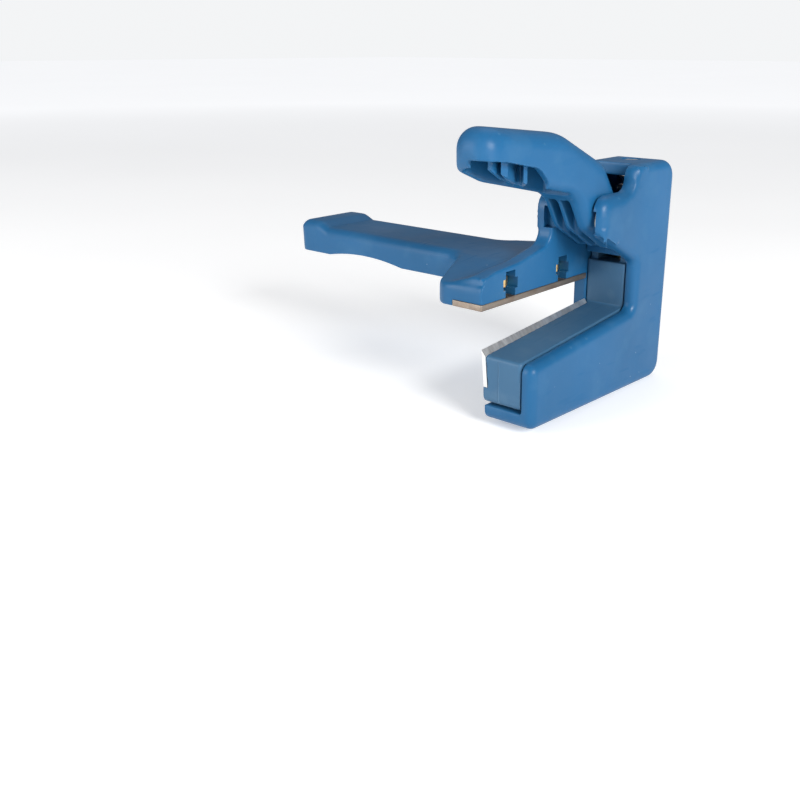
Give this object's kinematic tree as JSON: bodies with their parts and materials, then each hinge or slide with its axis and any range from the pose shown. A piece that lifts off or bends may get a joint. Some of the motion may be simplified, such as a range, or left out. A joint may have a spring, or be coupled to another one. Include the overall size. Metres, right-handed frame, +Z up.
{
  "type": "edge banding end trimmer",
  "caption": "Hand-held guillotine trimmer for edge banding: a flat shoe, a steel shear plate and a lever that lifts a blade carriage inside an L-shaped plastic housing.",
  "frame": {"origin": "on the sole, at the shear plane that meets the panel's end, in the middle of the panel's thickness", "axes": "+X out past the panel's end, +Y across the thickness towards the column, +Z up from the sole"},
  "size_m": [0.137, 0.096, 0.0921],
  "materials": {
    "blue_plastic": "moulded, semi-gloss",
    "grey_blue_plastic": "moulded, satin",
    "ground_steel": "ground tool steel, lightly stained",
    "zinc_steel": "zinc plated",
    "yellow_zinc": "yellow passivated",
    "bright_steel": "polished",
    "brass": "turned",
    "nylon": "natural",
    "spring_steel": "drawn wire",
    "black_rubber": "moulded",
    "blade_steel": "ground and honed"
  },
  "bodies": {
    "frame": {"shoe": "blue_plastic", "housing": "blue_plastic", "shear_plate": "ground_steel", "shear_plate_screws": "zinc_steel", "shear_plate_nuts": "yellow_zinc", "housing_screws": "zinc_steel", "locating_pins": "bright_steel", "pivot_screw": "zinc_steel", "pivot_insert": "brass", "pivot_washers": "nylon", "guide_rod": "bright_steel", "guide_rod_screw": "zinc_steel", "return_spring": "spring_steel", "buffer_pad": "black_rubber"},
    "lever": {"lever": "blue_plastic", "lever_bushes": "brass"},
    "carriage": {"carriage": "grey_blue_plastic", "blade": "blade_steel", "blade_screws": "zinc_steel", "blade_nuts": "yellow_zinc", "lift_pin": "bright_steel", "carriage_bushes": "brass", "wear_strips": "nylon", "spring_washer": "bright_steel"}
  },
  "joints": [
    {"name": "lever_pivot", "type": "hinge", "parent": "frame", "child": "lever", "pos_m": [0.00785, 0.002, 0.024], "axis": [1, 0, 0], "range_deg": [0, 38.5]},
    {"name": "carriage_slide", "type": "slide", "parent": "frame", "child": "carriage", "axis": [0, 0, 1], "range_m": [0, 0.014], "stiffness_N_per_m": 120, "springref_m": -0.012, "deforming": ["return_spring"]}
  ],
  "couplings": [
    {"joint": "lever_pivot", "follows": "carriage_slide", "rad_per_m": 47.99}
  ]
}
